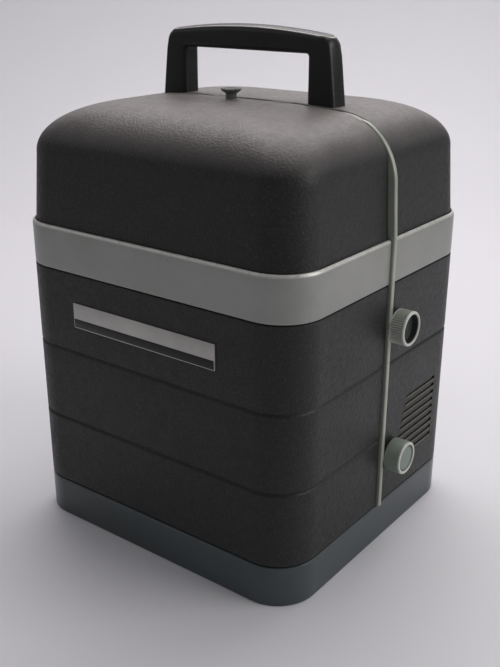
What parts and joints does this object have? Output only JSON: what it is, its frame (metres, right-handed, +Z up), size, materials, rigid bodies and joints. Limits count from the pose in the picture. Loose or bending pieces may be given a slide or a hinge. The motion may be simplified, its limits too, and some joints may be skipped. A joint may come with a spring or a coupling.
{
  "type": "movie projector",
  "caption": "Portable film projector closed in an upright carrying case, with a tip-down front cover, a top handle, a silver band, two side knobs and a full film mechanism inside.",
  "frame": {"origin": "on the table, under the middle of the case's plan", "axes": "+Z up, -Y towards the front cover and its nameplate, +X towards the side with the two knobs"},
  "size_m": [0.2213, 0.1968, 0.311],
  "materials": {
    "shell": "grained charcoal plastic",
    "plinth": "smooth charcoal plastic",
    "band": "satin silver",
    "nameplate": "satin with a black strip",
    "grey_green": "grey-green moulding",
    "plate": "grey-green enamel on a die casting",
    "handle": "gloss black",
    "trim": "bright",
    "button": "dark grey",
    "steel": "bare steel",
    "dark_steel": "blackened",
    "rubber": "black rubber",
    "glass": "clear",
    "copper": "enamelled copper under tape",
    "fibre": "brown fibre",
    "nylon": "natural nylon",
    "ceramic": "white ceramic",
    "black_plastic": "black moulding",
    "lamp_glass": "mirrored glass bowl"
  },
  "bodies": {
    "chassis": {"base_plinth": "plinth", "bottom_sheet": "dark_steel", "rubber_feet": "rubber", "rear_housing": "shell", "rear_band": "band", "mechanism_plate": "plate", "handle_stripe": "trim", "handle": "handle", "case_screws": "steel", "shaft_bearings": "steel", "film_claw": "steel", "aperture_plate": "steel", "lens_holder": "dark_steel", "lamp_house": "dark_steel", "condenser_lens": "glass", "projection_lamp": "lamp_glass", "lamp_socket": "ceramic", "film_guides": "black_plastic", "motor_can": "dark_steel", "motor_bracket": "steel", "fan_housing": "steel", "drive_belt": "rubber", "transformer_core": "dark_steel", "transformer_coil": "copper", "power_inlet": "black_plastic", "inlet_pins": "steel", "switch_body": "fibre", "rack_guide": "nylon"},
    "front_cover": {"front_cover": "shell", "front_band": "band", "nameplate": "nameplate", "cover_hooks": "steel", "latch_bush": "grey_green", "spring_bracket": "steel", "latch_spring": "steel"},
    "cover_catch": {"latch_button": "button", "latch_catch": "steel"},
    "main_drive": {"inching_knob": "grey_green", "main_shaft": "steel", "shutter": "dark_steel", "claw_cam": "steel"},
    "motor_rotor": {"motor_shaft": "steel", "motor_pulley": "steel", "fan_wheel": "black_plastic"},
    "feed_drive": {"feed_sprocket": "nylon", "feed_wheel": "fibre"},
    "takeup_drive": {"takeup_sprocket": "nylon", "takeup_wheel": "fibre"},
    "supply_arm": {"supply_arm": "plate"},
    "supply_spindle": {"supply_spindle": "steel"},
    "takeup_reel": {"takeup_spindle": "steel", "takeup_reel": "grey_green"},
    "lens": {"lens_barrel": "dark_steel", "lens_glass": "glass"},
    "focus_knob": {"focus_knob": "black_plastic"},
    "pressure_plate": {"pressure_plate": "steel"},
    "control_knob": {"control_knob": "black_plastic"},
    "elevation_knob": {"elevation_knob": "grey_green", "elevation_pinion": "steel"},
    "elevation_foot": {"elevation_foot": "steel"}
  },
  "joints": [
    {"name": "cover_tip", "type": "hinge", "parent": "chassis", "child": "front_cover", "pos_m": [0, -0.098, 0.0264], "axis": [1, 0, 0], "range_deg": [0, 90]},
    {"name": "catch_press", "type": "slide", "parent": "front_cover", "child": "cover_catch", "axis": [0, 0, -1], "range_m": [0, 0.003], "stiffness_N_per_m": 400, "springref_m": -0.001, "deforming": ["latch_spring"]},
    {"name": "inching_turn", "type": "hinge", "parent": "chassis", "child": "main_drive", "pos_m": [0, 0.008, 0.1452], "axis": [1, 0, 0], "continuous": true},
    {"name": "motor_turn", "type": "hinge", "parent": "chassis", "child": "motor_rotor", "pos_m": [0, 0.055, 0.075], "axis": [1, 0, 0], "continuous": true},
    {"name": "feed_turn", "type": "hinge", "parent": "chassis", "child": "feed_drive", "pos_m": [0.052, 0, 0.1792], "axis": [0, 1, 0], "continuous": true},
    {"name": "takeup_turn", "type": "hinge", "parent": "chassis", "child": "takeup_drive", "pos_m": [0.052, 0, 0.1112], "axis": [0, 1, 0], "continuous": true},
    {"name": "arm_fold", "type": "hinge", "parent": "chassis", "child": "supply_arm", "pos_m": [-0.062, 0, 0.192], "axis": [0, -1, 0], "range_deg": [0, 110]},
    {"name": "supply_turn", "type": "hinge", "parent": "supply_arm", "child": "supply_spindle", "pos_m": [-0.016, 0, 0.192], "axis": [0, 1, 0], "continuous": true},
    {"name": "reel_turn", "type": "hinge", "parent": "chassis", "child": "takeup_reel", "pos_m": [-0.05, 0, 0.072], "axis": [0, 1, 0], "continuous": true},
    {"name": "lens_slide", "type": "slide", "parent": "chassis", "child": "lens", "axis": [1, 0, 0], "range_m": [0, 0.005]},
    {"name": "focus_turn", "type": "hinge", "parent": "chassis", "child": "focus_knob", "pos_m": [0.056, 0, 0.1274], "axis": [0, 1, 0], "range_deg": [0, 80]},
    {"name": "gate_release", "type": "slide", "parent": "chassis", "child": "pressure_plate", "axis": [1, 0, 0], "range_m": [0, 0.002], "stiffness_N_per_m": 300, "springref_m": -0.001},
    {"name": "control_turn", "type": "hinge", "parent": "chassis", "child": "control_knob", "pos_m": [0.062, 0, 0.05], "axis": [0, -1, 0], "range_deg": [-45, 45]},
    {"name": "elevation_turn", "type": "hinge", "parent": "chassis", "child": "elevation_knob", "pos_m": [0, 0.0115, 0.0583], "axis": [-1, 0, 0], "range_deg": [0, 230]},
    {"name": "foot_slide", "type": "slide", "parent": "chassis", "child": "elevation_foot", "axis": [0, 0, -1], "range_m": [0, 0.024]}
  ],
  "couplings": [
    {"joint": "motor_turn", "follows": "inching_turn", "ratio": 1.3846},
    {"joint": "feed_turn", "follows": "inching_turn", "ratio": 0.083333},
    {"joint": "takeup_turn", "follows": "inching_turn", "ratio": -0.083333},
    {"joint": "focus_turn", "follows": "lens_slide", "rad_per_m": 277.78},
    {"joint": "elevation_turn", "follows": "foot_slide", "rad_per_m": 166.67}
  ]
}
